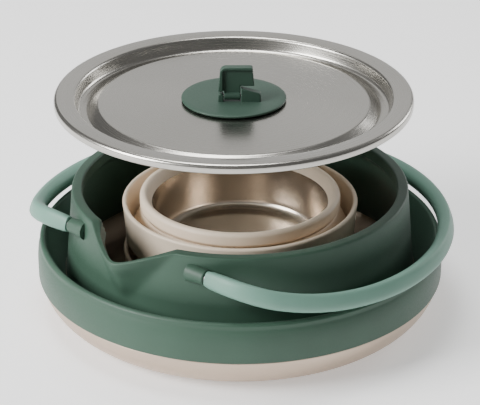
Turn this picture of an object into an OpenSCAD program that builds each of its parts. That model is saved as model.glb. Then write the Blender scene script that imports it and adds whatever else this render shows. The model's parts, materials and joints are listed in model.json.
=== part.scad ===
// Collapsible pouring pot with a lift-off lid, a folding bail and two stacked collapsible bowls.
// Millimetres, +Z up. The origin is the centre of the flat underside of the steel base.
// The pouring spout points along -Y. Everything is drawn in the packed state: pot and bowls
// folded down, bowls stacked in the pot, bail laid round the pot, lid held above the rim.

/* [Pot] */
// Outer radius of the steel base pan
pan_r = 101; // [99:0.5:103]
// Height of the exposed steel of the base pan
pan_h = 19; // [18:0.5:20]
// Sheet thickness of the base pan
pan_t = 1; // [0.8:0.1:1.2]
// Thickness of the base pan's floor
floor_t = 2.5; // [2:0.1:3]
// Height of the fold at the top of the silicone skirt
skirt_top = 39; // [38:0.5:40]
// Height of the rim of the folded pot
rim_z = 64; // [63:0.5:65]
// Outer radius of the rim
rim_r = 83.5; // [83:0.5:84]
// Inner radius of the rim
rim_in = 78.2; // [78:0.1:78.6]
// Outer radius of the upper wall at its foot
foot_r = 88; // [87:0.5:88.5]
// Height of the foot of the upper wall when folded
foot_z = 20; // [19:0.5:21]
// Thickness of the upper wall
wall_t = 3; // [2.6:0.1:3.2]

/* [Spout] */
// How far the spout's lip reaches from the pot's axis
spout_r = 94; // [92:0.5:96]
// Half of the width of the spout's opening at the rim
spout_half = 24.5; // [23:0.5:26]
// Height of the spout's lip
lip_z = 56; // [55:0.5:58]
// Thickness of the spout's lip
lip_t = 2.2; // [2:0.1:2.6]

/* [Bail] */
// Distance of the bail's hinge axis in front of the pot's centre
hinge_y = 76; // [75:0.5:77]
// Height of the bail's hinge axis when the pot is folded
hinge_z = 55.5; // [55.4:0.1:55.8]
// Radius of the bail's centreline round the pot
bail_r = 102; // [101.5:0.5:103]
// Width of the grip, measured towards the pot
grip_w = 8.4; // [7:0.2:8.6]
// Height of the grip
grip_h = 9.2; // [8:0.1:9.2]
// How far the bail drops from its hinges to its back
bail_drop = 11.6; // [10:0.1:11.6]

/* [Lid] */
// Outer radius of the lid's flange
lid_r = 87.4; // [87:0.1:88]
// Height of the top of the flange above the table, with the lid held off
lid_z = 112.4; // [112:0.1:114]
// How far the lid, held off, stands to the side of the pot's axis along X
lid_x = -2.3; // [-4:0.1:0]
// How far the lid, held off, stands to the side of the pot's axis along Y
lid_y = -1.9; // [-4:0.1:0]
// Sheet thickness of the lid
lid_t = 0.8; // [0.6:0.1:1]
// Radius of the knob's disc
knob_r = 25.6; // [24:0.2:27]
// Turn of the knob on the lid, which points the face of its pull tab
knob_turn = -50.4; // [-60:0.2:-40]

/* [Bowls] */
// Inner radius of a bowl's steel pan at its brim
bowl_pan_r = 44; // [43:0.5:45]
// Outer radius of a bowl's silicone rim
bowl_rim_r = 58.7; // [58:0.1:59.5]
// Height of a bowl's cuff above its own base
cuff_h = 31; // [30:0.5:32]

/* [Hidden] */

$fn = 96;
gap = 0.3;

POT_GREEN = [0.345, 0.478, 0.408];
BAIL_GREEN = [0.569, 0.667, 0.62];
SAND = [0.784, 0.737, 0.675];
STEEL = [0.76, 0.73, 0.69];
DARK_STEEL = [0.5, 0.5, 0.5];

// Fold bands: from the fold edge down to the valley
fold_in = foot_r + 0.9;
fold_out = pan_r - 2.9;
skirt_in = pan_r - 2.8;

// Stacking of the bowls: a shoulder under each sleeve sits on the cuff below it
shoulder_h = 5.6;
lower_z = floor_t + gap;
upper_z = lower_z + cuff_h + gap - shoulder_h;
bowl_rim_h = cuff_h - 3.5;
bowl_foot_h = 7;
brim_h = cuff_h - 5.5;

// Bail path
bail_bend = 30;
bail_back = 1.5;
bail_front = asin((bail_bend - hinge_y - bail_back) / (bail_r - bail_bend));
bail_corner_x = (bail_r - bail_bend) * cos(bail_front);
bail_tip_x = 44.1;
journal_r = 1.6;
stud_r = 2.2;
boss_x = 43.2;
bush_x = 36;

// Top of the lid's raised middle
middle = lid_z - 4.3;

// Knob, in its own frame: X towards the face of the pull tab, Y along the tab, Z = 0 on the lid
disc_t = 2;
tab_x = 5.7;
tab_t = 4.2;
tab_left = -7.5;
tab_right = 9.5;
tab_top = 19.6;
pin_z = 4.6;
pin_left = tab_left + 0.4;
pin_right = 12;
barrel_left = -4.7;
barrel_right = 3.2;

// ---------- shared shapes ----------

// Points on an arc about c, from angle a to angle b
function arc(c, r, a, b, n = 6) = [for (i = [0 : n]) let (t = a + (b - a) * i / n)
    [c[0] + r * cos(t), c[1] + r * sin(t)]];

// A body of revolution from a closed outline of [radius, height] points
module turned(outline) {
    rotate_extrude() polygon(outline);
}

// A rod along X between two places, on the bail's hinge axis
module hinge_rod(x0, x1, r) {
    translate([min(x0, x1), -hinge_y, hinge_z]) rotate([0, 90, 0])
        cylinder(r = r, h = abs(x1 - x0), $fn = 48);
}

// ---------- pot ----------

module pot_pan() {
    corner = 22;
    neck = pan_r - 1.8;
    crown = 8;
    color(STEEL) turned(concat(
        [[0, 0]],
        arc([pan_r - corner, corner], corner, -90, -crown, 12),
        [[pan_r, pan_h], [neck, pan_h + 0.6], [neck, pan_h + 7], [neck - pan_t, pan_h + 7],
         [neck - pan_t, pan_h]],
        arc([pan_r - corner - 0.8, corner], corner - pan_t, -crown, -66, 8),
        [[0, floor_t]]));
}

module pot_skirt() {
    neck = pan_r - 1.8;
    color(POT_GREEN) turned(concat(
        [[neck, pan_h + 0.7], [pan_r + 0.3, pan_h + 0.1], [pan_r + 0.7, pan_h + 4]],
        arc([pan_r - 13.3, pan_h + 9], 14, 0, 24, 3),
        arc([pan_r - 2.2, skirt_top - 1.7], 1.7, 30, 170, 5),
        [[skirt_in - 0.7, skirt_top - 3], [skirt_in, skirt_top - 6], [skirt_in, pan_h + 7.1],
         [neck, pan_h + 7.1]]));
}

module pot_fold() {
    band = 1.2;
    top = skirt_top - 3.2;
    color(POT_GREEN) turned([
        [fold_out - 0.5, top], [fold_out - 0.9, top - 1], [fold_in + 1.2, foot_z + 0.6],
        [fold_in + 0.2, foot_z + 0.2], [fold_in, foot_z + 1.6],
        [fold_in + 0.4, foot_z + 3], [fold_out - 2, top + 0.8], [fold_out - 1.2, top + 1.6]]);
}

// Outer outline of the upper wall as a full solid, and the hollow inside it
module wall_solid() {
    turned(concat(
        [[0, foot_z], [foot_r - 1.4, foot_z - 0.6], [foot_r - 0.2, foot_z + 0.4],
         [foot_r, foot_z + 2]],
        [[rim_r + 0.6, rim_z - 12], [rim_r, rim_z - 3]],
        arc([rim_r - 0.8, rim_z - 0.8], 0.8, 0, 90, 3),
        [[0, rim_z]]));
}

module wall_hollow() {
    under_rim = rim_z - 5.5;
    turned([[0, foot_z - 2], [foot_r - wall_t + 0.2, foot_z - 2], [foot_r - wall_t, foot_z + 2],
            [rim_r + 0.9 - wall_t, under_rim - 3], [rim_in, under_rim],
            [rim_in, rim_z - 0.8], [rim_in + 0.8, rim_z + 0.1], [0, rim_z + 0.1]]);
}

// The spout's form: two uprights by the rim, the lip, and a low point on the wall
module spout_form(grow) {
    side_r = 3;
    tip_r = 4.6;
    tip_y = spout_r - lip_t - tip_r;
    hull() {
        for (side = [-1, 1])
            translate([side * (spout_half - side_r), -73.5, rim_z - 8])
                cylinder(r = side_r + grow, h = 20, $fn = 24);
        translate([0, -tip_y, lip_z - 4]) cylinder(r = tip_r + grow, h = 24, $fn = 32);
        translate([0, -80, 35 - grow]) cylinder(r = 1.5 + grow, h = 10, $fn = 24);
    }
}

// What is cut off above the spout, so that its lip runs down from the rim
module lip_cut() {
    translate([-40, 0, 0]) rotate([90, 0, 90]) linear_extrude(80)
        polygon([[-80.6, rim_z + 0.02], [-86, rim_z - 4], [-89.5, lip_z + 1], [-93, lip_z],
                 [-120, lip_z], [-120, rim_z + 30], [-70, rim_z + 30], [-70, rim_z + 0.02]]);
}

module lug_boss(side) {
    hinge_rod(side * 30, side * boss_x, 4);
}

module pot_wall() {
    color(POT_GREEN) difference() {
        union() {
            wall_solid();
            spout_form(lip_t);
            for (side = [-1, 1]) lug_boss(side);
        }
        wall_hollow();
        spout_form(0);
        lip_cut();
        translate([0, 0, rim_z]) cylinder(r = 100, h = 40);
        for (side = [-1, 1]) hinge_rod(side * bush_x, side * (boss_x + 1), 3);
        hoop(1.2);
    }
}

// The stiffening hoop's ring, open at the spout
module hoop(wire_r) {
    opening = 46;
    rotate([0, 0, -90 + opening / 2]) rotate_extrude(angle = 360 - opening)
        translate([rim_r - 2.7, rim_z - 2.8]) circle(r = wire_r, $fn = 32);
}

module rim_hoop() {
    color(DARK_STEEL) hoop(1.2);
}

module lug_bush(side) {
    color(DARK_STEEL) difference() {
        hinge_rod(side * bush_x, side * boss_x, 3);
        hinge_rod(side * (bush_x + 0.7), side * (boss_x + 1), journal_r + 0.05);
    }
}

module lug_bush_left() { lug_bush(-1); }
module lug_bush_right() { lug_bush(1); }

// ---------- bail ----------

// How far the bail lies below its hinges at distance d behind them
function sag(d) = bail_drop * (1 - exp(-d / 22));

// One side of the centreline in plan: from the tip, round the corner, to the back
function bail_plan() = concat(
    [for (x = [bail_tip_x, bail_tip_x + 1, bail_tip_x + 3]) [x, -hinge_y]],
    [for (i = [0 : 6]) let (t = -90 + (bail_front + 90) * i / 6)
        [bail_corner_x + bail_bend * cos(t), bail_back + (bail_r - bail_bend) * sin(bail_front)
         + bail_bend * sin(t)]],
    [for (i = [1 : 22]) let (t = bail_front + (90 - bail_front) * i / 22)
        [bail_r * cos(t), bail_back + bail_r * sin(t)]]);

function mirrored(points) = [for (i = [len(points) - 2 : -1 : 0]) [-points[i][0], points[i][1]]];

function bail_line() = let (half = bail_plan()) [for (p = concat(half, mirrored(half)))
    [p[0], p[1], hinge_z - sag(max(0, p[1] + hinge_y))]];

// How much the section shrinks at ring i of n, which rounds the tips
function tip_scale(i, n) = let (k = min(i, n - 1 - i)) k == 0 ? 0.62 : k == 1 ? 0.88 : 1;

// Points of a rounded rectangle, w by h with corner radius r
function section(w, h, r, n = 3) = [for (q = [0 : 3]) for (i = [0 : n])
    let (t = q * 90 + i * 90 / n, sx = (q == 0 || q == 3) ? 1 : -1, sy = q < 2 ? 1 : -1)
    [sx * (w / 2 - r) + r * cos(t), sy * (h / 2 - r) + r * sin(t)]];

// The section placed at point i of a line, square to the line
function ring(line, i, shape, k) = let (
    n = len(line),
    ahead = line[min(i + 1, n - 1)] - line[max(i - 1, 0)],
    t = ahead / norm(ahead),
    side = cross(t, [0, 0, 1]) / norm(cross(t, [0, 0, 1])),
    up = cross(side, t))
    [for (p = shape) line[i] + k * p[0] * side + k * p[1] * up];

// Side faces between rings of m points, from ring 0 to ring n - 1, starting at point number base
function skin(n, m, base, inward) = [for (i = [0 : n - 2]) for (j = [0 : m - 1])
    let (a = base + i * m + j, b = base + i * m + (j + 1) % m)
    each (inward ? [[a, b, b + m], [a, b + m, a + m]] : [[a, b + m, b], [a, a + m, b + m]])];

module bail_grip() {
    line = bail_line();
    n = len(line);
    outer = section(grip_w, grip_h, 3.2);
    m = len(outer);
    bore = [for (j = [0 : m - 1]) let (t = j * 360 / m + 45 / 2) stud_r * [cos(t), sin(t)]];
    far = n * m;
    last = (n - 1) * m;
    color(BAIL_GREEN) polyhedron(
        points = concat([for (i = [0 : n - 1]) each ring(line, i, outer, tip_scale(i, n))],
                        [for (i = [0 : n - 1]) each ring(line, i, bore, 1)]),
        faces = concat(skin(n, m, 0, false), skin(n, m, far, true),
                       [for (j = [0 : m - 1]) let (k = (j + 1) % m)
                           each [[j, k, far + k], [j, far + k, far + j]]],
                       [for (j = [0 : m - 1]) let (k = (j + 1) % m)
                           each [[last + j, far + last + k, last + k],
                                 [last + j, far + last + j, far + last + k]]]));
}

module bail_core() {
    line = bail_line();
    inside = [for (i = [3 : len(line) - 4]) line[i]];
    n = len(inside);
    m = 10;
    rod = [for (j = [0 : m - 1]) let (t = j * 360 / m) (stud_r - 0.15) * [cos(t), sin(t)]];
    color(DARK_STEEL) polyhedron(
        points = [for (i = [0 : n - 1]) each ring(inside, i, rod, 1)],
        faces = concat(skin(n, m, 0, false), [[for (j = [0 : m - 1]) j]],
                       [[for (j = [m - 1 : -1 : 0]) (n - 1) * m + j]]));
}

// A stepped pin: its journal turns in the lug's bush, its stud is held in the grip
module bail_pin(side) {
    color(DARK_STEEL) {
        hinge_rod(side * (bush_x + 1.1), side * (boss_x + gap), journal_r);
        hinge_rod(side * (boss_x + gap), side * (bail_tip_x - 0.1), 2.6);
        hinge_rod(side * (bail_tip_x - 0.1), side * (bail_tip_x + 2.9), stud_r - 0.25);
    }
}

module bail_pin_left() { bail_pin(-1); }
module bail_pin_right() { bail_pin(1); }

// ---------- lid ----------

// Puts a shape on the axis of the lid, which stands a little to the side of the pot's axis
module at_lid() {
    translate([lid_x, lid_y, 0]) children();
}

// Outline of the pressed sheet: flange with turned-down edge, plug, channel, raised middle
module lid_plate() {
    hem = lid_z - 4.4;
    plug_r = 77.4;
    channel = lid_z - 7.6;
    color(STEEL) at_lid() difference() {
        turned([
            [0, middle], [66.2, middle], [67.6, middle - 0.5], [70.6, channel + 0.4],
            [71.8, channel], [plug_r - 3.2, channel], [plug_r - 1.9, channel + 0.8],
            [plug_r - 0.6, lid_z - 1.6], [plug_r + 1.6, lid_z - 0.3],
            [lid_r - 2.4, lid_z], [lid_r - 0.8, lid_z - 0.5], [lid_r, lid_z - 1.8],
            [lid_r, hem + 0.6], [lid_r - 0.5, hem], [lid_r - 1.4, hem], [lid_r - 1.4, hem + 0.9],
            [lid_r - lid_t, hem + 1.2], [lid_r - lid_t, lid_z - 2],
            [lid_r - 1.4, lid_z - 1.1], [lid_r - 2.6, lid_z - lid_t],
            [plug_r + 2.4, lid_z - 0.35 - lid_t], [plug_r + 0.2, lid_z - 2.3],
            [plug_r - 1.05, channel + 0.5], [plug_r - 2.9, channel - lid_t],
            [71.6, channel - lid_t], [70.1, channel + 0.4 - lid_t],
            [67.2, middle - 0.6 - lid_t], [66, middle - lid_t], [0, middle - lid_t]]);
        translate([0, 0, middle - 2]) cylinder(r = 2.2, h = 4, $fn = 48);
    }
}

// Puts a shape in the knob's own frame: Z = 0 on the lid, X across the tab, Y along it
module at_knob() {
    at_lid() translate([0, 0, middle]) rotate([0, 0, knob_turn]) children();
}

// A rod along the tab's hinge axis
module tab_rod(y0, y1, r) {
    translate([tab_x, y0, pin_z]) rotate([-90, 0, 0]) cylinder(r = r, h = y1 - y0, $fn = 48);
}

// An outline of [y, z] points, drawn as a plate of thickness t centred on the tab
module plate(t, outline) {
    translate([tab_x - t / 2, 0, 0]) rotate([90, 0, 90]) linear_extrude(t) polygon(outline);
}

module knob_seat() {
    lug_w = barrel_left - gap - tab_left;
    color(POT_GREEN) at_knob() difference() {
        union() {
            turned([[0, 0], [knob_r - 0.8, 0], [knob_r, 0.7], [knob_r, 1.2],
                    [knob_r - 1.2, disc_t - 0.1], [knob_r - 3, disc_t], [0, disc_t]]);
            tab_rod(tab_left, tab_left + lug_w, tab_t / 2);
            plate(tab_t, [[tab_left, 1], [tab_left + lug_w, 1], [tab_left + lug_w, pin_z],
                          [tab_left, pin_z]]);
            plate(tab_t, [[barrel_right + gap, 1], [13, 1], [13, pin_z + 1.4],
                          [12.2, pin_z + 1.8], [barrel_right + gap, pin_z + 4.2]]);
        }
        tab_rod(pin_left, pin_right, 1);
        translate([0, 0, -1]) cylinder(r = 2, h = 2, $fn = 48);
        translate([0, 0, 0.3]) cylinder(r = 6, h = 1.3, $fn = 48);
    }
}

module knob_insert() {
    color(DARK_STEEL) at_knob() difference() {
        translate([0, 0, 0.3]) cylinder(r = 6, h = 1.3, $fn = 48);
        translate([0, 0, -1]) cylinder(r = 1.9, h = 3, $fn = 48);
    }
}

module knob_screw() {
    under = -lid_t - 1;
    color(STEEL) at_knob() {
        translate([0, 0, under]) cylinder(r = 1.9, h = 1.5 - under, $fn = 48);
        translate([0, 0, under - 1.8]) turned([[0, 0], [2.6, 0], [3.8, 0.8], [4, 1.8], [0, 1.8]]);
    }
}

module knob_washer() {
    color(STEEL) at_knob() difference() {
        translate([0, 0, -lid_t - 1]) cylinder(r = 6, h = 1, $fn = 64);
        translate([0, 0, -lid_t - 2]) cylinder(r = 2.1, h = 3, $fn = 48);
    }
}

module knob_pin() {
    color(STEEL) at_knob() tab_rod(pin_left, pin_right, 1);
}

module knob_tab() {
    corner = 3;
    color(POT_GREEN) at_knob() difference() {
        union() {
            tab_rod(barrel_left, barrel_right, tab_t / 2);
            plate(tab_t, concat(
                [[barrel_left, pin_z], [barrel_right, pin_z], [barrel_right, pin_z + 5.1],
                 [tab_right + 0.4, pin_z + 5.1]],
                arc([tab_right - 0.6 - 1, tab_top - 1], 1, 0, 90, 3),
                arc([tab_left + 0.8 + corner, tab_top - corner], corner, 90, 180, 5),
                [[tab_left, pin_z + 2.6], [barrel_left, pin_z + 2.6]]));
        }
        tab_rod(tab_left, pin_right + 1, 1.05);
        // finger recess in the face, open to the right
        translate([tab_x + tab_t / 2 - 1.3, 0, 0]) rotate([90, 0, 90]) linear_extrude(2)
            polygon(concat([[tab_left + 2.6, pin_z + 3], [tab_right + 1, pin_z + 3],
                            [tab_right + 1, tab_top - 1.6]],
                           arc([tab_left + 6.2, tab_top - 4.6], 3, 90, 180, 4)));
    }
}

// ---------- bowls ----------

module bowl_pan(z) {
    corner = 6.5;
    side_r = 43.5;
    color(STEEL) translate([0, 0, z]) turned(concat(
        [[0, 0]],
        arc([side_r - corner, corner], corner, -90, 0, 7),
        [[bowl_pan_r + 0.8, brim_h], [bowl_pan_r, brim_h]],
        arc([side_r - corner, corner + 0.2], corner - 0.9, 0, -90, 7),
        [[0, 1.1]]));
}

module bowl_sleeve(z) {
    color(SAND) translate([0, 0, z]) turned([
        [43.6, shoulder_h + 1], [bowl_pan_r + 0.9, brim_h], [bowl_pan_r + 0.1, brim_h + 0.1],
        [bowl_pan_r + 0.3, brim_h + 1], [46.3, cuff_h - 1.2], [47, cuff_h - 0.3],
        [47.9, cuff_h], [48.9, cuff_h - 0.2], [49.7, cuff_h - 1], [50, cuff_h - 2.2],
        [49.8, cuff_h - 3.6], [48.4, cuff_h - 5.4], [47.4, cuff_h - 8], [47.2, shoulder_h + 3.4],
        [48.2, shoulder_h + 2.4], [48.2, shoulder_h], [43.6, shoulder_h]]);
}

module bowl_fold(z) {
    top = cuff_h - 8;
    color(SAND) translate([0, 0, z]) turned([
        [47.8, top - 0.4], [47.6, top - 1.8], [48.1, top - 2.6],
        [53.7, bowl_foot_h + 1.2], [54.4, bowl_foot_h + 0.6], [54.7, bowl_foot_h + 1.4],
        [54.6, bowl_foot_h + 3], [49.4, top - 1.2], [48.6, top]]);
}

module bowl_wall(z) {
    color(SAND) translate([0, 0, z]) turned([
        [55, bowl_foot_h + 0.8], [55.6, bowl_foot_h], [56.6, bowl_foot_h],
        [57.2, bowl_foot_h + 0.8], [bowl_rim_r, bowl_rim_h - 1], [bowl_rim_r - 0.3, bowl_rim_h - 0.2],
        [bowl_rim_r - 0.9, bowl_rim_h], [bowl_rim_r - 1.7, bowl_rim_h],
        [bowl_rim_r - 2.2, bowl_rim_h - 0.6], [bowl_rim_r - 2.2, bowl_rim_h - 2]]);
}

module lower_pan() { bowl_pan(lower_z); }
module lower_sleeve() { bowl_sleeve(lower_z); }
module lower_fold() { bowl_fold(lower_z); }
module lower_wall() { bowl_wall(lower_z); }
module upper_pan() { bowl_pan(upper_z); }
module upper_sleeve() { bowl_sleeve(upper_z); }
module upper_fold() { bowl_fold(upper_z); }
module upper_wall() { bowl_wall(upper_z); }

pot_pan();
pot_skirt();
pot_fold();
pot_wall();
rim_hoop();
lug_bush_left();
lug_bush_right();
bail_grip();
bail_core();
bail_pin_left();
bail_pin_right();
lid_plate();
knob_seat();
knob_insert();
knob_screw();
knob_washer();
knob_pin();
knob_tab();
lower_pan();
lower_sleeve();
lower_fold();
lower_wall();
upper_pan();
upper_sleeve();
upper_fold();
upper_wall();
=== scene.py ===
"""Looks of a collapsible camping pot set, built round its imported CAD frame.

The set is a silicone pouring pot on a steel base pan, with a bail, a steel lid with a pull tab
and two stacked collapsible bowls. Outlines are (radius, height) pairs in millimetres, which
become metres when they are drawn. Places come from the frame's boxes where it has them.
"""

import json
import logging
import math
from dataclasses import dataclass
from enum import Enum

import bpy
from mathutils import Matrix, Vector

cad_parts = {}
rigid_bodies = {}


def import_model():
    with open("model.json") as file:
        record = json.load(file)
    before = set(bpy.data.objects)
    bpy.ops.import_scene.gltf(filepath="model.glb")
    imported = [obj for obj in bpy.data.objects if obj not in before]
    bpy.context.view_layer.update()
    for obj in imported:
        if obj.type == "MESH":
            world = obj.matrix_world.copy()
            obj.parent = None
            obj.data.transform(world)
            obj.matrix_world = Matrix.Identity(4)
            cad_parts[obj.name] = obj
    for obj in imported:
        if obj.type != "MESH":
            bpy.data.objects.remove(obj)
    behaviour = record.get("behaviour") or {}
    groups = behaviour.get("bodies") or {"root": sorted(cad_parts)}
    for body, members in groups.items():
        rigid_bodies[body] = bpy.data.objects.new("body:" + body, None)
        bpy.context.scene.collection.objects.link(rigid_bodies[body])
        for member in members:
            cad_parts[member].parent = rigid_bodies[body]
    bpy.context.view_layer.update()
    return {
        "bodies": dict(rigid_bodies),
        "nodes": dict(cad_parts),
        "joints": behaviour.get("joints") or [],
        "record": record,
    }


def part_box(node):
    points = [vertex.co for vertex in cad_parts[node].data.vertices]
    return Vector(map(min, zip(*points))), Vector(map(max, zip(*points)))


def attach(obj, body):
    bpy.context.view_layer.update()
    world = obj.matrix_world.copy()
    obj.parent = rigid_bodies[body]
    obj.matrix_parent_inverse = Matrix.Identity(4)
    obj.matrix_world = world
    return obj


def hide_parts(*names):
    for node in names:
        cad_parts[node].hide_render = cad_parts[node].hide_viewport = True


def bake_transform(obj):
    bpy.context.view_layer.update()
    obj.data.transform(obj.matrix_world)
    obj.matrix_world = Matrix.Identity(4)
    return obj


MM = 0.001
ROUND_STEPS = 192
MERGE_DISTANCE = 0.01 * MM
MIDDLE_OF_NOISE = (0.3, 0.7)
GROOVES_PER_METRE = 2600
PATCHES_PER_RADIAN = 1.2
LOG = logging.getLogger("pot_set")
Point = tuple[float, float]
Color = tuple[float, float, float]


# ---------- measuring and drawing ----------


@dataclass(frozen=True)
class Span:
    """The box of a CAD node, in millimetres."""

    low: Vector
    high: Vector

    @classmethod
    def of(cls, node: str) -> "Span":
        """Measures a node.

        Args:
            node: The CAD node's name.

        Returns:
            Its box at rest.
        """
        low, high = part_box(node)
        return cls(low / MM, high / MM)

    @property
    def middle(self) -> Vector:
        """The centre of the box."""
        return (self.low + self.high) / 2


def arc(centre: Point, radius: float, start: float, end: float, steps: int = 8) -> list[Point]:
    """Points on an arc.

    Args:
        centre: The arc's centre.
        radius: Its radius.
        start: The first point's angle, in degrees.
        end: The last point's angle, in degrees.
        steps: How many stretches the arc has.

    Returns:
        The points, both ends included.
    """
    angles = (math.radians(start + (end - start) * i / steps) for i in range(steps + 1))
    return [(centre[0] + radius * math.cos(a), centre[1] + radius * math.sin(a)) for a in angles]


def rows(start: Point, end: Point, steps: int) -> list[Point]:
    """Evenly spaced points on a straight stretch.

    Args:
        start: The first point.
        end: The last point.
        steps: How many stretches there are.

    Returns:
        The points, both ends included.
    """
    return [(start[0] + (end[0] - start[0]) * i / steps, start[1] + (end[1] - start[1]) * i / steps)
            for i in range(steps + 1)]


def smooth(low: float, high: float, value: float) -> float:
    """A gentle step from 0 at low to 1 at high."""
    t = min(max((value - low) / (high - low), 0.0), 1.0)
    return t * t * (3 - 2 * t)


def clear_selection() -> None:
    """Leaves nothing selected, in object mode."""
    if bpy.context.object and bpy.context.object.mode != "OBJECT":
        bpy.ops.object.mode_set(mode="OBJECT")
    bpy.ops.object.select_all(action="DESELECT")


def draw_chain(name: str, corners: list[Vector]) -> bpy.types.Object:
    """Draws a chain of edges as a new object, and leaves it in edit mode.

    Args:
        name: The object's name.
        corners: The chain's corners, in metres.

    Returns:
        The new object.
    """
    clear_selection()
    bpy.ops.mesh.primitive_plane_add(size=MM, location=corners[0])
    piece = bpy.context.object
    piece.name = name
    piece.data.name = name
    bpy.ops.object.transform_apply(location=True, rotation=True, scale=True)
    bpy.ops.object.mode_set(mode="EDIT")
    bpy.ops.mesh.select_mode(type="VERT")
    bpy.ops.mesh.select_all(action="SELECT")
    bpy.ops.mesh.merge(type="CENTER")
    for here, there in zip(corners, corners[1:]):
        bpy.ops.mesh.extrude_region_move(TRANSFORM_OT_translate={"value": there - here})
    return piece


def close_skin(piece: bpy.types.Object, crease: float = 38) -> bpy.types.Object:
    """Merges doubled points, turns the faces outwards and shades the piece.

    Args:
        piece: The object, in edit mode.
        crease: Faces that meet at more than this angle, in degrees, keep a sharp edge.

    Returns:
        The same object, in object mode.
    """
    bpy.ops.mesh.select_all(action="SELECT")
    bpy.ops.mesh.remove_doubles(threshold=MERGE_DISTANCE)
    bpy.ops.mesh.normals_make_consistent(inside=False)
    bpy.ops.object.mode_set(mode="OBJECT")
    bpy.ops.object.shade_smooth_by_angle(angle=math.radians(crease))
    return piece


def round_edges(piece: bpy.types.Object, width: float, segments: int = 3) -> None:
    """Rounds a piece's sharp edges.

    Args:
        piece: The object.
        width: The width of the rounding, in millimetres.
        segments: How many faces it has.
    """
    clear_selection()
    piece.select_set(True)
    bpy.context.view_layer.objects.active = piece
    bevel = piece.modifiers.new("rounding", "BEVEL")
    bevel.width = width * MM
    bevel.segments = segments
    bevel.limit_method = "ANGLE"
    bevel.angle_limit = math.radians(40)
    bpy.ops.object.modifier_apply(modifier=bevel.name)
    bpy.ops.object.shade_smooth_by_angle(angle=math.radians(50))


def join(name: str, parts: list[bpy.types.Object]) -> bpy.types.Object:
    """Joins parts into one piece.

    Args:
        name: The piece's name.
        parts: The objects to join.

    Returns:
        The joined object.
    """
    clear_selection()
    for part in parts:
        part.select_set(True)
    bpy.context.view_layer.objects.active = parts[0]
    bpy.ops.object.join()
    parts[0].name = name
    parts[0].data.name = name
    return parts[0]


@dataclass(frozen=True)
class Lathe:
    """An axis that outlines are turned about."""

    centre: Vector = Vector((0, 0, 0))
    axis: Vector = Vector((0, 0, 1))
    radial: Vector = Vector((1, 0, 0))

    def turn(self, name: str, outline: list[Point], steps: int = ROUND_STEPS) -> bpy.types.Object:
        """Turns an outline into a closed body.

        Args:
            name: The new object's name.
            outline: The outline, which is closed unless both its ends lie on the axis.
            steps: How many stretches go round.

        Returns:
            The new object.
        """
        open_ended = outline[0][0] == 0 and outline[-1][0] == 0
        path = outline if open_ended else outline + outline[:1]
        corners = [self.centre + self.radial * (r * MM) + self.axis * (h * MM) for r, h in path]
        piece = draw_chain(name, corners)
        bpy.ops.mesh.select_all(action="SELECT")
        bpy.ops.mesh.spin(steps=steps, angle=math.tau, center=self.centre, axis=self.axis)
        return close_skin(piece)


@dataclass(frozen=True)
class Bench:
    """A local frame in which flat plates are cut: X through the plate, Y along it, Z up."""

    origin: Vector
    turn: float

    @property
    def through(self) -> Vector:
        """The direction through a plate."""
        return Vector((math.cos(self.turn), math.sin(self.turn), 0))

    @property
    def along(self) -> Vector:
        """The direction along a plate."""
        return Vector((-math.sin(self.turn), math.cos(self.turn), 0))

    def place(self, x: float, y: float, z: float) -> Vector:
        """A point of the local frame, given in millimetres, as a place in metres."""
        return self.origin + (self.through * x + self.along * y + Vector((0, 0, z))) * MM

    def plate(self, name: str, back: float, front: float, outline: list[Point],
              rounding: float) -> bpy.types.Object:
        """Cuts a plate with rounded edges.

        Args:
            name: The new object's name.
            back: Where its back face lies on X.
            front: Where its front face lies on X.
            outline: Its outline as (Y, Z) pairs.
            rounding: The width of its rounded edges.

        Returns:
            The new object.
        """
        corners = [self.place(back, y, z) for y, z in outline + outline[:1]]
        piece = draw_chain(name, corners)
        bpy.ops.mesh.select_all(action="SELECT")
        bpy.ops.mesh.remove_doubles(threshold=MERGE_DISTANCE)
        bpy.ops.mesh.select_all(action="SELECT")
        bpy.ops.mesh.edge_face_add()
        bpy.ops.mesh.extrude_region_move(
            TRANSFORM_OT_translate={"value": self.through * ((front - back) * MM)})
        close_skin(piece)
        round_edges(piece, rounding)
        return piece


# ---------- finishes ----------


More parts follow.
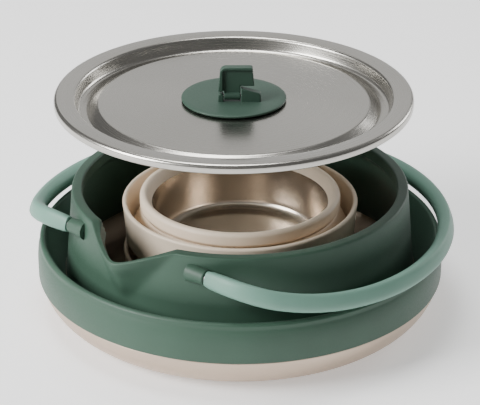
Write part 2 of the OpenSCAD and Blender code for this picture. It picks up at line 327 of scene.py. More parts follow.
class Graph:
    """A material's nodes, with short ways to add what the finishes share."""

    def __init__(self, name: str) -> None:
        """Starts a material with a shader and object coordinates.

        Args:
            name: The material's name.
        """
        self.material = bpy.data.materials.new(name)
        self.material.use_nodes = True
        self.tree = self.material.node_tree
        self.shader = self.tree.nodes["Principled BSDF"]
        self.place = self.add("ShaderNodeTexCoord").outputs["Object"]

    def add(self, kind: str, **settings: object) -> bpy.types.Node:
        """Adds a node and gives it its settings.

        Args:
            kind: The node's type.
            **settings: Its attributes, by name.

        Returns:
            The new node.
        """
        node = self.tree.nodes.new(kind)
        for key, value in settings.items():
            setattr(node, key, value)
        return node

    def link(self, source: bpy.types.NodeSocket, target: bpy.types.NodeSocket) -> None:
        """Joins two sockets."""
        self.tree.links.new(source, target)

    def maths(self, operation: str, first: object, second: object) -> bpy.types.NodeSocket:
        """Adds a sum or comparison of sockets or numbers.

        Args:
            operation: The operation's name.
            first: A socket or a number.
            second: A socket or a number.

        Returns:
            The result's socket.
        """
        node = self.add("ShaderNodeMath", operation=operation)
        for value, target in zip((first, second), node.inputs):
            if isinstance(value, bpy.types.NodeSocket):
                self.link(value, target)
            else:
                target.default_value = value
        return node.outputs[0]

    def noise(self, scale: float, detail: float = 2,
              place: bpy.types.NodeSocket | None = None) -> bpy.types.NodeSocket:
        """Adds a noise pattern.

        Args:
            scale: Its scale, in turns a metre.
            detail: How many finer layers it has.
            place: The coordinates it reads, or None for the object's own.

        Returns:
            The pattern's socket.
        """
        node = self.add("ShaderNodeTexNoise")
        node.inputs["Scale"].default_value = scale
        node.inputs["Detail"].default_value = detail
        self.link(place or self.place, node.inputs["Vector"])
        return node.outputs["Fac"]

    def ramp(self, value: bpy.types.NodeSocket, low: Color, high: Color) -> bpy.types.NodeSocket:
        """Turns the middle of a pattern's range into a blend of two colours.

        Args:
            value: The pattern's socket.
            low: The colour at the low end.
            high: The colour at the high end.

        Returns:
            The colour's socket.
        """
        node = self.add("ShaderNodeValToRGB")
        for element, place, color in zip(node.color_ramp.elements, MIDDLE_OF_NOISE, (low, high)):
            element.position = place
            element.color = (*color, 1)
        self.link(value, node.inputs["Fac"])
        return node.outputs["Color"]

    def spread(self, value: bpy.types.NodeSocket, low: float, high: float) -> bpy.types.NodeSocket:
        """Maps the middle of a pattern's range onto a range of numbers.

        Args:
            value: The pattern's socket.
            low: The number at the low end.
            high: The number at the high end.

        Returns:
            The number's socket.
        """
        node = self.add("ShaderNodeMapRange")
        ends = ("From Min", "From Max", "To Min", "To Max")
        for name, number in zip(ends, (*MIDDLE_OF_NOISE, low, high)):
            node.inputs[name].default_value = number
        self.link(value, node.inputs["Value"])
        return node.outputs["Result"]

    def bump(self, height: bpy.types.NodeSocket, strength: float, depth: float) -> None:
        """Presses a pattern into the surface.

        Args:
            height: The pattern's socket.
            strength: How strongly it shows.
            depth: How deep it goes, in millimetres.
        """
        node = self.add("ShaderNodeBump")
        node.inputs["Strength"].default_value = strength
        node.inputs["Distance"].default_value = depth * MM
        self.link(height, node.inputs["Height"])
        self.link(node.outputs["Normal"], self.shader.inputs["Normal"])


def tinted(color: Color, factor: float) -> Color:
    """A colour made lighter or darker by a factor."""
    return tuple(min(channel * factor, 1.0) for channel in color)


@dataclass(frozen=True)
class Silicone:
    """Matt moulded silicone: slight mottling, a fine moulded grain and a soft sheen."""

    name: str
    color: Color
    roughness: float = 0.5
    mottling: float = 0.07
    specular: float = 0.4
    sheen: float = 0.04
    sheen_roughness: float = 0.45
    cloud_scale: float = 38
    grain_scale: float = 1500
    grain_strength: float = 0.22
    grain_depth: float = 0.06

    def build(self) -> bpy.types.Material:
        """Builds the material.

        Returns:
            The material.
        """
        graph = Graph(self.name)
        shader = graph.shader
        clouds = graph.noise(self.cloud_scale, 4)
        graph.link(graph.ramp(clouds, tinted(self.color, 1 - self.mottling),
                              tinted(self.color, 1 + self.mottling)), shader.inputs["Base Color"])
        grain = graph.noise(self.grain_scale, 3)
        graph.link(graph.spread(grain, self.roughness - 0.05, self.roughness + 0.08),
                   shader.inputs["Roughness"])
        shader.inputs["Specular IOR Level"].default_value = self.specular
        shader.inputs["Sheen Weight"].default_value = self.sheen
        shader.inputs["Sheen Roughness"].default_value = self.sheen_roughness
        graph.bump(grain, self.grain_strength, self.grain_depth)
        return graph.material


class Grain(Enum):
    """How a steel surface was finished."""

    BLASTED = "blasted"
    TURNED = "turned"


@dataclass(frozen=True)
class Steel:
    """Satin steel with a fine grain that scatters its reflections."""

    name: str
    color: Color
    roughness: float
    grain: Grain
    anisotropy: float = 0.0
    relief: float = 0.02
    streaks: float = 0.05
    centre: Point = (0, 0)
    stain_scale: float = 24
    stain: float = 0.03
    blast_scale: float = 2200
    bump_strength: float = 0.12

    def build(self) -> bpy.types.Material:
        """Builds the material.

        Returns:
            The material.
        """
        graph = Graph(self.name)
        shader = graph.shader
        shader.inputs["Metallic"].default_value = 1.0
        shader.inputs["Anisotropic"].default_value = self.anisotropy
        stains = graph.noise(self.stain_scale, 3)
        graph.link(graph.ramp(stains, tinted(self.color, 1 - self.stain),
                              tinted(self.color, 1 + self.stain)), shader.inputs["Base Color"])
        if self.grain is Grain.BLASTED:
            pattern = graph.noise(self.blast_scale, 2)
        else:
            pattern = graph.noise(1, 3, self.groove_place(graph))
        graph.link(graph.spread(pattern, self.roughness - self.streaks,
                                self.roughness + self.streaks), shader.inputs["Roughness"])
        graph.bump(pattern, self.bump_strength, self.relief)
        if self.anisotropy:
            tangent = graph.add("ShaderNodeTangent", direction_type="RADIAL", axis="Z")
            graph.link(tangent.outputs["Tangent"], shader.inputs["Tangent"])
        return graph.material

    def groove_place(self, graph: Graph) -> bpy.types.NodeSocket:
        """Coordinates that stretch a noise into rings round the axis.

        Args:
            graph: The material's nodes.

        Returns:
            The coordinates' socket.
        """
        split = graph.add("ShaderNodeSeparateXYZ")
        graph.link(graph.place, split.inputs[0])
        x = graph.maths("SUBTRACT", split.outputs["X"], self.centre[0] * MM)
        y = graph.maths("SUBTRACT", split.outputs["Y"], self.centre[1] * MM)
        radius = graph.maths("SQRT", graph.maths("ADD", graph.maths("MULTIPLY", x, x),
                                                 graph.maths("MULTIPLY", y, y)), 0)
        turn = graph.maths("ARCTAN2", y, x)
        joined = graph.add("ShaderNodeCombineXYZ")
        graph.link(graph.maths("MULTIPLY", radius, GROOVES_PER_METRE), joined.inputs["X"])
        graph.link(graph.maths("MULTIPLY", turn, PATCHES_PER_RADIAN), joined.inputs["Y"])
        graph.link(graph.maths("MULTIPLY", split.outputs["Z"], GROOVES_PER_METRE),
                   joined.inputs["Z"])
        return joined.outputs[0]


@dataclass(frozen=True)
class Palette:
    """The finishes of the set, one to each of the record's material slots."""

    materials: dict[str, bpy.types.Material]

    @classmethod
    def mix(cls) -> "Palette":
        """Builds every finish.

        Returns:
            The palette that holds them.
        """
        lid_axis = Span.of("knob_seat").middle
        finishes = {
            "pot_silicone": Silicone("pot_silicone", (0.037, 0.083, 0.055)),
            "knob_silicone": Silicone("knob_silicone", (0.026, 0.06, 0.041)),
            "bail_silicone": Silicone("bail_silicone", (0.14, 0.275, 0.215), 0.46, 0.04),
            "bowl_silicone": Silicone("bowl_silicone", (0.8, 0.67, 0.52), 0.48, 0.04),
            "base_steel": Steel("base_steel", (0.55, 0.445, 0.355), 0.42, Grain.BLASTED),
            "lid_steel": Steel("lid_steel", (0.47, 0.455, 0.42), 0.25, Grain.TURNED,
                               anisotropy=0.35, centre=(lid_axis.x, lid_axis.y)),
            "bowl_steel": Steel("bowl_steel", (0.62, 0.55, 0.47), 0.25, Grain.TURNED,
                                anisotropy=0.3, relief=0.006, streaks=0.02),
            "inner_steel": Steel("inner_steel", (0.5, 0.5, 0.5), 0.3, Grain.BLASTED),
        }
        return cls({slot: finish.build() for slot, finish in finishes.items()})

    def dress(self, piece: bpy.types.Object, slot: str, body: str, *nodes: str) -> None:
        """Finishes a new piece and fixes it to its body.

        Args:
            piece: The piece.
            slot: The material slot that its finish belongs to.
            body: The CAD body that it rides on.
            nodes: The CAD nodes that it stands for.
        """
        self.paint(piece, slot)
        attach(piece, body)
        if nodes:
            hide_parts(*nodes)

    def paint(self, piece: bpy.types.Object, slot: str) -> None:
        """Gives a new piece its only material and names its slot.

        Args:
            piece: The piece.
            slot: The material slot that its finish belongs to.
        """
        piece.data.materials.clear()
        piece.data.materials.append(self.materials[slot])
        LOG.info("%s: %d faces, %s", piece.name, len(piece.data.polygons), slot)

    def repaint(self, frame: dict) -> None:
        """Gives every CAD node that stays in view its slot's finish.

        Args:
            frame: The loaded frame, with its record and nodes.
        """
        slots = {part["node"]: part["material_slot"] for part in frame["record"]["subparts"]}
        for name, node in frame["nodes"].items():
            for place in node.material_slots:
                place.material = self.materials[slots[name]]


# ---------- the pot ----------


@dataclass
class Pot:
    """The steel base pan, its silicone skirt and fold, and the upper wall with spout and lugs."""

    palette: Palette
    pan_corner: float = 22
    shoulder: float = 19
    sheet: float = 1
    lip: float = 1.7
    rim_outer: float = 83.5
    rim_inner: float = 78.2
    rim_depth: float = 5.5
    wall: float = 3
    spout_width: float = 26.7
    spout_foot: float = 35
    spout_lip: float = 56
    lip_thickness: float = 2.2
    spout_rounding: float = 0.13
    spout_margin: float = 4
    lug_root: float = 33
    lug_bed: float = 1.6

    def __post_init__(self) -> None:
        """Reads the driving sizes from the frame."""
        self.pan = Span.of("pot_pan")
        self.skirt_top = Span.of("pot_skirt").high.z
        self.fold = Span.of("pot_fold")
        wall = Span.of("pot_wall")
        self.foot = wall.high.x
        self.foot_z = wall.low.z
        self.rim_z = wall.high.z
        self.spout_tip = -wall.low.y

    def build(self) -> None:
        """Builds all pieces of the pot."""
        lathe = Lathe()
        self.palette.dress(lathe.turn("base_pan", self.pan_outline()), "base_steel", "base",
                           "pot_pan")
        self.palette.dress(lathe.turn("pot_skirt_shell", self.skirt_outline()), "pot_silicone",
                           "base", "pot_skirt")
        self.build_fold(lathe)
        self.build_wall(lathe)

    def pan_outline(self) -> list[Point]:
        """The pan's outline, with a shallow recess under its floor.

        Returns:
            The closed outline.
        """
        edge = self.pan.high.x
        neck = edge - 1.8
        centre = (edge - self.pan_corner, self.pan_corner)
        inner = (centre[0] - 0.8, self.pan_corner)
        top = self.pan.high.z
        recess = 0.5
        recess_edge = 72
        floor = 2.5
        return ([(0, recess), (recess_edge - 1, recess), (recess_edge, recess / 4),
                 (recess_edge + 1, 0)]
                + arc(centre, self.pan_corner, -90, -8, 18)
                + [(edge, self.shoulder - 0.3), (edge - 0.2, self.shoulder + 0.1),
                   (neck + 0.3, self.shoulder + 0.5), (neck, self.shoulder + 0.9)]
                + [(neck, top), (neck - self.sheet, top), (neck - self.sheet, self.shoulder)]
                + arc(inner, self.pan_corner - self.sheet, -8, -66, 12) + [(0, floor)])

    def skirt_outline(self) -> list[Point]:
        """The skirt's outline: a gently bulging band that turns over into a rounded lip.

        Returns:
            The closed outline.
        """
        edge = self.pan.high.x + 0.7
        neck = self.pan.high.x - 1.8
        low = self.shoulder
        crest = (edge - 2.9, self.skirt_top - self.lip)
        return ([(neck, low + 0.8), (edge - 1, low + 0.3)]
                + arc((edge - 0.6, low + 0.7), 0.6, -90, 0, 4)
                + arc((edge - 26, low + 8.4), 26, 0, 12, 6)
                + arc((edge - 15.4, low + 11.2), 15.2, 9, 24, 4)
                + arc(crest, self.lip, 15, 178, 14)
                + [(crest[0] - 1.65, crest[1] - 1.4), (neck - 1.4, self.skirt_top - 4.6),
                   (neck - self.sheet, self.skirt_top - 6.2), (neck - self.sheet, low + 7.2),
                   (neck, low + 7.2)])

    def build_fold(self, lathe: Lathe) -> None:
        """Builds the band that hangs from the skirt's lip to the wall's foot.

        Args:
            lathe: The pot's axis.
        """
        top = self.fold.high.z + 0.4
        low = self.fold.low.z
        outer = self.fold.high.x
        inner = self.foot
        lip_x = self.pan.high.x - 2.2
        lip_z = self.skirt_top - self.lip
        band = (rows((outer, top - 1.2), (outer - 0.9, top - 2.6), 2)
                + rows((outer - 1.2, top - 3.6), (inner + 2.4, low + 1.6), 12)
                + arc((inner + 1.2, low + 0.9), 1.2, -20, -150, 5)
                + rows((inner + 0.3, low + 1), (inner + 1.2, low + 2.8), 2)
                + rows((inner + 1.5, low + 3.4), (lip_x - 1.75, lip_z + 0.3), 12)
                + [(lip_x - 1.2, lip_z + 0.5)])
        piece = lathe.turn("pot_fold_band", band)
        self.palette.paint(piece, "pot_silicone")
        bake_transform(piece)
        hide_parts("pot_fold")

    def wall_radius(self, z: float) -> float:
        """The wall's outer radius at a height."""
        share = (z - self.foot_z) / (self.rim_z - self.foot_z)
        return self.foot + (self.rim_outer - self.foot) * min(max(share, 0), 1) ** 0.9

    def build_wall(self, lathe: Lathe) -> None:
        """Builds the wall as a turned shell, draws its spout out of it and adds its lugs.

        Args:
            lathe: The pot's axis.
        """
        low, top = self.foot_z, self.rim_z
        under_rim = top - self.rim_depth
        outside = [(self.wall_radius(z), z) for _, z in rows((0, low + 2), (0, top - 1), 26)]
        inside = rows((self.wall_radius(under_rim) - self.wall, under_rim - 3),
                      (self.wall_radius(low) - self.wall, low + 2), 20)
        outline = (arc((self.foot - 1.5, low + 1.5), 1.5, -120, -10, 5) + outside
                   + arc((self.rim_outer - 1, top - 1), 1, 0, 90, 5)
                   + rows((self.rim_outer - 2, top), (self.rim_inner + 2, top), 2)
                   + arc((self.rim_inner + 1, top - 1), 1, 90, 180, 5)
                   + rows((self.rim_inner, top - 2.2), (self.rim_inner, under_rim), 2) + inside)
        piece = lathe.turn("pot_wall_shell", outline, 360)
        self.draw_spout(piece)
        self.palette.dress(piece, "pot_silicone", "wall", "pot_wall")
        for side, word in ((-1, "left"), (1, "right")):
            self.build_lug(side, word)

    def draw_spout(self, piece: bpy.types.Object) -> None:
        """Draws the spout out of the wall: a trough with a keel under it and a thin, low lip.

        Args:
            piece: The turned wall.
        """
        reach = self.spout_tip - self.rim_outer
        rounding = self.spout_rounding
        for vertex in piece.data.vertices:
            x, y, z = vertex.co / MM
            if y > 0 or abs(x) > self.spout_width + self.spout_margin or z < self.spout_foot:
                continue
            rise = min(max((z - self.spout_foot) / (self.rim_z - self.spout_foot), 0), 1)
            depth = max(self.wall_radius(z) - math.hypot(x, y), 0)
            half = max(self.spout_width * (0.12 + 0.88 * rise) - 0.45 * depth * rise, 0.1)
            u = (math.hypot(abs(x) / half, rounding) - rounding) / (math.hypot(1, rounding) - rounding)
            tent = max(1 - u, 0)
            tent = 0.9 * tent + 0.1 * smooth(0, 1, tent)
            thinning = max(depth - self.lip_thickness, 0) * smooth(0, 0.8, rise)
            pull = reach * rise * tent + thinning * min(tent * 3, 1)
            fall = (self.rim_z - self.spout_lip) * tent
            vertex.co.y -= pull * MM
            vertex.co.z -= fall * smooth(self.spout_foot + 8, self.rim_z, z) * MM

    def build_lug(self, side: int, word: str) -> None:
        """Builds a lug that swells out of the wall and holds one end of the bail.

        Args:
            side: -1 for the lug at -X, 1 for the one at +X.
            word: The lug's name.
        """
        bush = Span.of(f"lug_bush_{word}")
        hinge = Vector((0, bush.middle.y * MM, bush.middle.z * MM))
        end = max(abs(bush.low.x), abs(bush.high.x))
        root = self.lug_root
        lathe = Lathe(hinge, Vector((side, 0, 0)), Vector((0, 0, 1)))
        outline = ([(0, root), (4.6, root), (4.4, root + 3), (3.9, root + 6)]
                   + arc((2.9, end - 0.8), 0.8, 0, 90, 5)
                   + [(2.2, end), (2, end - 0.4), (0, end - 0.4)])
        piece = lathe.turn(f"lug_{word}", outline, 48)
        outward = Vector((side * 36.5, bush.middle.y, 0)).normalized()
        bpy.context.view_layer.objects.active = piece
        bpy.ops.object.mode_set(mode="EDIT")
        bpy.ops.mesh.select_all(action="SELECT")
        skin = (self.wall_radius(bush.middle.z) - self.lug_bed) * MM
        bpy.ops.mesh.bisect(plane_co=outward * skin, plane_no=outward, clear_inner=True,
                            use_fill=True)
        close_skin(piece)
        self.palette.dress(piece, "pot_silicone", "wall")


# ---------- the bail ----------


@dataclass
class Bail:
    """The silicone grip over the bail's steel core."""

    palette: Palette
    width: float = 8.05
    height: float = 9.2
    radius: float = 102
    bend: float = 30
    back: float = 1.5
    drop: float = 11.6
    settle: float = 22
    tip: float = 44.1
    squareness: float = 1.2
    tip_rounding: float = 2.8
    tip_sizes: tuple[float, float] = (0.84, 0.95)

    def __post_init__(self) -> None:
        """Reads the hinge's place from the frame."""
        pin = Span.of("bail_pin_left")
        self.hinge_y = -pin.middle.y
        self.hinge_z = pin.middle.z

    def build(self) -> None:
        """Sweeps the grip's section along its line."""
        grip = draw_chain("bail_sleeve", self.centreline())
        bpy.ops.object.mode_set(mode="OBJECT")
        bpy.ops.object.convert(target="CURVE")
        bpy.ops.object.select_all(action="DESELECT")
        bpy.ops.curve.primitive_bezier_circle_add(radius=1)
        section = bpy.context.object
        for point in section.data.splines[0].bezier_points:
            point.handle_left_type = point.handle_right_type = "FREE"
            point.handle_left = point.co + (point.handle_left - point.co) * self.squareness
            point.handle_right = point.co + (point.handle_right - point.co) * self.squareness
            for handle in (point.co, point.handle_left, point.handle_right):
                handle.x *= self.width / 2 * MM
                handle.y *= self.height / 2 * MM
        section.data.resolution_u = 6
        clear_selection()
        grip.select_set(True)
        bpy.context.view_layer.objects.active = grip
        grip.data.dimensions = "3D"
        grip.data.twist_mode = "Z_UP"
        points = grip.data.splines[0].points
        for step, size in enumerate(self.tip_sizes):
            points[step].radius = size
            points[-1 - step].radius = size
        grip.data.bevel_mode = "OBJECT"
        grip.data.bevel_object = section
        grip.data.use_fill_caps = True
        bpy.ops.object.convert(target="MESH")
        bpy.data.objects.remove(section)
        bpy.ops.object.mode_set(mode="EDIT")
        close_skin(grip)
        round_edges(grip, self.tip_rounding, 6)
        self.palette.dress(grip, "bail_silicone", "bail", "bail_grip")

    def centreline(self) -> list[Vector]:
        """The grip's line, from one tip round the pot's back to the other.

        Returns:
            Its points, in metres.
        """
        ring = self.radius - self.bend
        front = math.degrees(math.asin((self.bend - self.hinge_y - self.back) / ring))
        corner = (ring * math.cos(math.radians(front)),
                  self.back + ring * math.sin(math.radians(front)))
        plan = ([(self.tip, -self.hinge_y), (self.tip + 3, -self.hinge_y)]
                + arc(corner, self.bend, -90, front, 18)
                + arc((0, self.back), self.radius, front, 90, 60)[1:])
        whole = plan + [(-x, y) for x, y in reversed(plan[:-1])]
        return [Vector((x, y, self.hinge_z - self.sag(y + self.hinge_y))) * MM for x, y in whole]

    def sag(self, distance: float) -> float:
        """How far the line lies below the hinge at a distance behind it."""
        return self.drop * (1 - math.exp(-max(distance, 0) / self.settle))


# ---------- the lid and its knob ----------


@dataclass
class Lid:
    """The pressed steel lid, its silicone knob and the pull tab that folds on the knob."""

    palette: Palette
    sheet: float = 0.8
    plug: float = 77.4
    plateau: float = 66
    knob_turn: float = math.radians(-50.4)
    tab_x: float = 5.7
    tab_thickness: float = 4.2
    tab_left: float = -7.5
    tab_right: float = 9.5
    pin_z: float = 4.6

    def __post_init__(self) -> None:
        """Reads the lid's and knob's places from the frame."""
        self.plate = Span.of("lid_plate")
        self.knob = Span.of("knob_seat")
        self.axis = Vector((self.knob.middle.x, self.knob.middle.y, 0)) * MM
        self.raised = self.knob.low.z
        self.tab_top = Span.of("knob_tab").high.z - self.raised

    def build(self) -> None:
        """Builds the lid's sheet, the knob's disc and foot, and the tab."""
        lathe = Lathe(self.axis)
        self.palette.dress(lathe.turn("lid_sheet", self.sheet_outline(), 256), "lid_steel", "lid",
                           "lid_plate")
        self.build_knob(Lathe(self.axis + Vector((0, 0, self.raised * MM))))

    def sheet_outline(self) -> list[Point]:
        """The sheet's outline: raised middle, channel, plug, flange and rolled edge.

        Returns:
            The closed outline.
        """
        top = self.plate.high.z
        hem = top - 4.4
        edge = self.plate.high.x - self.axis.x / MM
        channel = top - 7.6
        t = self.sheet
        over = ([(0, self.raised)] + arc((self.plateau - 1, self.raised - 3), 3, 90, 50, 6)
                + arc((self.plateau + 6.3, channel + 2.4), 2.4, 230, 270, 5)
                + arc((self.plug - 3.6, channel + 2.6), 2.6, 270, 340, 6)
                + arc((self.plug + 1.4, top - 2.3), 1.9, 165, 95, 6)
                + arc((edge - 2, top - 2), 2, 90, 0, 8))
        curl = arc((edge - 0.8, hem + 0.8), 0.8, 0, -180, 6)
        under = (arc((edge - 2, top - 2), 2 - t, 0, 90, 6)
                 + arc((self.plug + 1.4, top - 2.3), 1.9 - t, 95, 165, 5)
                 + arc((self.plug - 3.6, channel + 2.6), 2.6 + t, 340, 270, 6)
                 + arc((self.plateau + 6.3, channel + 2.4), 2.4 + t, 270, 230, 5)
                 + arc((self.plateau - 1, self.raised - 3), 3 - t, 50, 90, 5)
                 + [(0, self.raised - t)])
        return over + curl + under

    def build_knob(self, lathe: Lathe) -> None:
        """Builds the knob's disc, the foot that holds the pin, and the tab.

        Args:
            lathe: The knob's axis, with its origin on the lid.
        """
        radius = (self.knob.high.x - self.knob.low.x) / 2
        disc = lathe.turn("knob_disc", [(0, 0), (radius - 2.6, 0), (radius - 1.6, 0.25),
                                        (radius - 0.3, 0.9)]
                          + arc((radius - 0.6, 1.35), 0.6, -50, 80, 6)
                          + [(radius - 3, 2.05), (0, 2)])
        self.palette.dress(disc, "knob_silicone", "lid", "knob_seat")
        bench = Bench(lathe.centre, self.knob_turn)
        back = self.tab_x - self.tab_thickness / 2
        front = self.tab_x + self.tab_thickness / 2
        left, pin = self.tab_left, self.pin_z
        ear = bench.plate("knob_ear", back, front,
                          [(left, 1.5), (left + 2.5, 1.5)]
                          + arc((left + 1.25, pin + 0.4), 1.25, 0, 180, 6), 0.4)
        foot = bench.plate("knob_foot", back, front,
                           [(3.5, 1.5), (13, 1.5), (13, pin + 1), (12.3, pin + 1.8),
                            (3.5, pin + 4.2)], 0.5)
        self.palette.dress(join("knob_foot", [foot, ear]), "knob_silicone", "lid")
        self.build_tab(bench, back, front)

    def build_tab(self, bench: Bench, back: float, front: float) -> None:
        """Builds the tab: a bordered plate on a barrel that turns on the pin.

        Args:
            bench: The knob's local frame.
            back: Where the tab's back lies on X.
            front: Where its front lies on X.
        """
        left, right, top, pin = self.tab_left, self.tab_right, self.tab_top, self.pin_z
        corner = 3
        border = 2.2
        low = pin + 5.1
        barrel_left, barrel_right = left + 2.8, 3.2
        top_left = arc((left + 0.8 + corner, top - corner), corner, 90, 180, 6)
        outline = ([(barrel_left, pin), (barrel_right, pin), (barrel_right, low),
                    (right + 0.4, low)] + arc((right - 1.4, top - 1), 1, 10, 90, 4) + top_left
                   + [(left, pin + 2.6), (barrel_left, pin + 2.6)])
        inner_left = arc((left + 0.8 + corner, top - corner), corner - border + 0.8, 180, 90, 6)
        rim = ([(left, pin + 2.6), (left + border, pin + 2.6)] + inner_left
               + [(right - 0.7, top - border + 0.6)] + arc((right - 1.4, top - 1), 1, 10, 90, 4)
               + top_left)
        plate = bench.plate("knob_tab_plate", back, front - 1.3, outline, 0.45)
        edge = bench.plate("knob_tab_border", front - 1.8, front, rim, 0.4)
        barrel_axis = Lathe(bench.place(self.tab_x, 0, pin), bench.along, bench.through)
        half = self.tab_thickness / 2
        barrel = barrel_axis.turn("knob_tab_barrel", [
            (0, barrel_left), (half - 0.3, barrel_left), (half, barrel_left + 0.3),
            (half, barrel_right - 0.3), (half - 0.3, barrel_right), (0, barrel_right)], 48)
        piece = join("knob_pull", [plate, edge, barrel])
        self.palette.dress(piece, "knob_silicone", "tab", "knob_tab")


# ---------- the bowls ----------


@dataclass
class Bowl:
    """A collapsible bowl: steel pan, silicone sleeve with its cuff, fold and outer wall."""

    palette: Palette
    name: str
    brim: float = 44
    cuff: float = 31
    brim_height: float = 25.5
    fold_top: float = 23
    foot: float = 7
    shoulder: float = 5.6

    def __post_init__(self) -> None:
        """Reads the bowl's place from the frame."""
        self.base = Span.of(f"{self.name}_pan").low.z
        self.rim = Span.of(f"{self.name}_wall").high.x
        self.rim_height = Span.of(f"{self.name}_wall").high.z - self.base

    def build(self) -> None:
        """Builds the bowl's four pieces."""
        lathe = Lathe(Vector((0, 0, self.base * MM)))
        bowl, rim = f"{self.name}_bowl", f"{self.name}_rim"
        self.palette.dress(lathe.turn(f"{bowl}_pan", self.pan_outline()), "bowl_steel", bowl,
                           f"{self.name}_pan")
        self.palette.dress(lathe.turn(f"{bowl}_cuff", self.sleeve_outline()), "bowl_silicone",
                           bowl, f"{self.name}_sleeve")
        self.palette.dress(lathe.turn(f"{bowl}_wall", self.wall_outline()), "bowl_silicone",
                           rim, f"{self.name}_wall")
        fold = lathe.turn(f"{bowl}_fold", self.fold_outline())
        self.palette.paint(fold, "bowl_silicone")
        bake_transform(fold)
        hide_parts(f"{self.name}_fold")

    def pan_outline(self) -> list[Point]:
        """The pan's outline, with a wide fillet between its floor and its side.

        Returns:
            The closed outline.
        """
        side = 43.5
        corner = 6.5
        recess = 0.3
        return ([(0, recess), (side - corner - 3, recess), (side - corner - 2, 0)]
                + arc((side - corner, corner), corner, -90, 0, 10)
                + [(self.brim + 0.8, self.brim_height), (self.brim + 0.3, self.brim_height + 0.2),
                   (self.brim, self.brim_height)]
                + arc((side - corner, corner + 0.2), corner - 0.9, 0, -90, 12) + [(0, 1.1)])

    def sleeve_outline(self) -> list[Point]:
        """The sleeve's outline, with the thick rounded cuff at its top.

        Returns:
            The closed outline.
        """
        top, low = self.cuff, self.shoulder
        return ([(43.6, low + 1), (self.brim + 0.9, self.brim_height),
                 (self.brim + 0.1, self.brim_height + 0.15), (self.brim + 0.35, top - 4.2)]
                + arc((47.9, top - 2.1), 2.1, 150, 5, 12)
                + arc((48.2, top - 5.4), 1.8, 0, -70, 6)
                + [(47.6, top - 8), (47.2, low + 3.4), (48.2, low + 2.4), (48.2, low + 0.5), (47.8, low),
                   (43.6, low)])

    def fold_outline(self) -> list[Point]:
        """The fold's outline: a band from the sleeve, under the cuff, down to the wall's foot.

        Returns:
            The closed outline.
        """
        top, low = self.fold_top, self.foot
        return (rows((47.7, top - 0.6), (47.8, top - 2), 2)
                + rows((48.2, top - 3), (53.6, low + 1.8), 10)
                + arc((54.5, low + 1.5), 0.9, 200, 330, 5)
                + rows((55.2, low + 2.4), (54.7, low + 4), 2)
                + rows((54.4, low + 5), (49.6, top - 1.4), 10)
                + arc((48.7, top - 0.9), 0.9, 20, 160, 5))

    def wall_outline(self) -> list[Point]:
        """The outer wall's outline: a flaring band with a rounded, slightly thicker lip.

        Returns:
            The closed outline.
        """
        low, top, edge = self.foot, self.rim_height, self.rim
        return (arc((56.1, low + 1), 1.1, 190, 350, 6)
                + rows((57.3, low + 2.5), (edge - 0.3, top - 3), 8)
                + arc((edge - 1.15, top - 1.15), 1.15, -10, 200, 12)
                + rows((edge - 2.1, top - 3), (55.1, low + 2.5), 8))


# ---------- the studio ----------


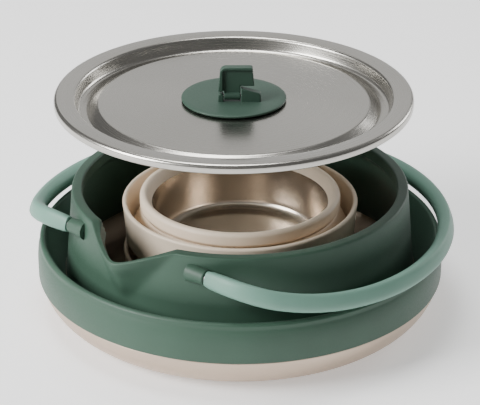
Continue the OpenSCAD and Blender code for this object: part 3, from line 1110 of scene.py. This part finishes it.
@dataclass(frozen=True)
class Studio:
    """The floor, lights and camera."""

    azimuth: float = math.radians(39.6)
    elevation: float = math.radians(25.5)
    distance: float = 0.9
    target: Vector = Vector((0, 0, 0.054))
    focal_length: float = 135
    lift: float = -0.0052
    sensor: float = 36
    floor_size: float = 8
    floor_glow: float = 0.45
    floor_dark: Color = (0.93, 0.93, 0.93)
    floor_light: Color = (0.95, 0.95, 0.95)
    room_glow: float = 0.18

    def set_up(self) -> None:
        """Sets up the floor, lights and camera."""
        self.lay_floor()
        self.place_camera()
        self.light_world()
        self.add_softbox("key", (-0.58, -1.12, 0.78), 0.75, 35)
        self.add_softbox("top", (-0.25, 0.05, 1.5), 0.7, 16)
        self.add_softbox("back", (-0.9, 1.15, 0.75), 1.4, 4)
        self.add_softbox("window", (0.25, 1.3, 0.5), 0.5, 5)

    def lay_floor(self) -> None:
        """Lays a plain pale floor."""
        clear_selection()
        bpy.ops.mesh.primitive_plane_add(size=self.floor_size, location=(0, 0, 0))
        floor = bpy.context.object
        floor.name = "floor"
        graph = Graph("floor_paint")
        graph.link(graph.ramp(graph.noise(3, 2), self.floor_dark, self.floor_light),
                   graph.shader.inputs["Base Color"])
        graph.shader.inputs["Roughness"].default_value = 0.7
        graph.shader.inputs["Specular IOR Level"].default_value = 0.2
        graph.shader.inputs["Emission Color"].default_value = (1, 1, 1, 1)
        graph.shader.inputs["Emission Strength"].default_value = self.floor_glow
        floor.data.materials.append(graph.material)

    def place_camera(self) -> None:
        """Places the camera at the usual three-quarter view."""
        level = math.cos(self.elevation)
        away = Vector((math.sin(self.azimuth) * level, -math.cos(self.azimuth) * level,
                       math.sin(self.elevation)))
        clear_selection()
        bpy.ops.object.camera_add(location=self.target + away * self.distance)
        camera = bpy.context.object
        camera.rotation_euler = (-away).to_track_quat("-Z", "Y").to_euler()
        camera.data.lens = self.focal_length
        camera.data.sensor_width = self.sensor
        camera.data.shift_y = self.lift
        bpy.context.scene.camera = camera

    def light_world(self) -> None:
        """Fills the room with even white light."""
        world = bpy.data.worlds.new("studio")
        world.use_nodes = True
        background = world.node_tree.nodes["Background"]
        background.inputs["Color"].default_value = (1, 1, 1, 1)
        background.inputs["Strength"].default_value = self.room_glow
        bpy.context.scene.world = world

    def add_softbox(self, name: str, place: tuple[float, float, float], size: float,
                    power: float) -> None:
        """Adds a square soft light that faces the target.

        Args:
            name: The light's name.
            place: Where it stands, in metres.
            size: The length of its side, in metres.
            power: Its power, in watts.
        """
        clear_selection()
        bpy.ops.object.light_add(type="AREA", location=place)
        lamp = bpy.context.object
        lamp.name = name
        lamp.rotation_euler = (self.target - Vector(place)).to_track_quat("-Z", "Y").to_euler()
        lamp.data.size = size
        lamp.data.energy = power


def main() -> None:
    """Builds the whole set round the frame."""
    logging.basicConfig(level=logging.INFO, format="%(message)s")
    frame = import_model()
    Studio().set_up()
    palette = Palette.mix()
    palette.repaint(frame)
    Pot(palette).build()
    Bail(palette).build()
    Lid(palette).build()
    for name in ("lower", "upper"):
        Bowl(palette, name).build()


if __name__ == "__main__":
    main()
